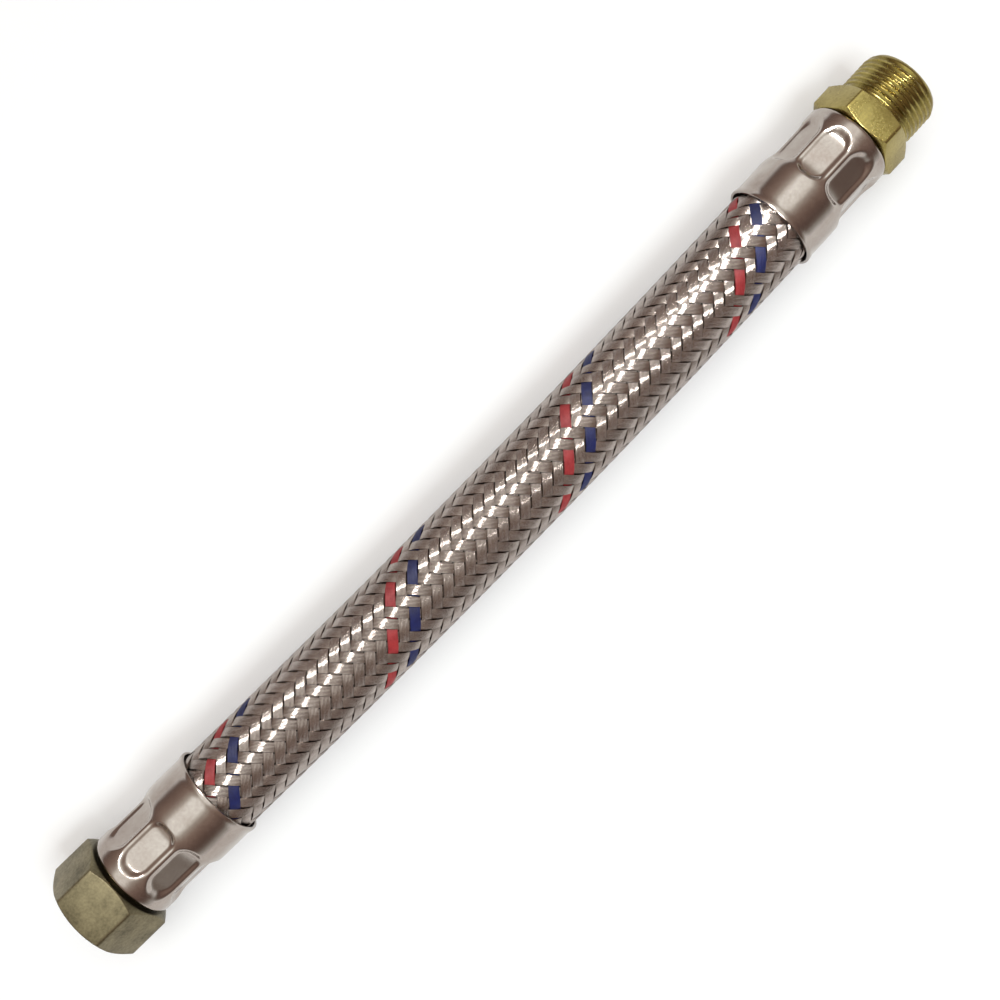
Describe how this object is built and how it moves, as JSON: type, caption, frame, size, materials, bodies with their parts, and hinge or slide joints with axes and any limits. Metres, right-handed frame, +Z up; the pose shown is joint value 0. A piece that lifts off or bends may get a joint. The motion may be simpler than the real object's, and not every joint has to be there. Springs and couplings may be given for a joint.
{
  "type": "anti-vibration hose",
  "caption": "Short rubber hose in a woven steel wire sleeve, with a crimped ferrule at each end, a loose swivel nut on one end and a male threaded hexagon fitting on the other.",
  "frame": {"origin": "middle of the hose's box, on the surface it lies on", "axes": "+X along the hose towards the male threaded end, +Z up; the hose lies on its side with its gentle bow towards -Y"},
  "size_m": [0.3536, 0.035, 0.0311],
  "materials": {
    "braid_steel": "bright drawn wire, woven",
    "tube_rubber": "matt",
    "ferrule_stainless": "polished, drawn and crimped",
    "nut_brass": "dull, lightly tarnished",
    "tail_brass": "turned",
    "male_brass": "turned, bright",
    "washer_rubber": "matt"
  },
  "bodies": {
    "hose": {"inner_tube": "tube_rubber", "braid_sleeve": "braid_steel", "nut_end_ferrule": "ferrule_stainless", "male_end_ferrule": "ferrule_stainless", "nut_end_tail": "tail_brass", "male_end_fitting": "male_brass"},
    "nut": {"swivel_nut": "nut_brass", "sealing_washer": "washer_rubber"}
  },
  "joints": [
    {"name": "nut_spin", "type": "hinge", "parent": "hose", "child": "nut", "pos_m": [-0.1231, -0.00127, 0.01557], "axis": [-0.9996, 0.0279, 0], "continuous": true}
  ]
}
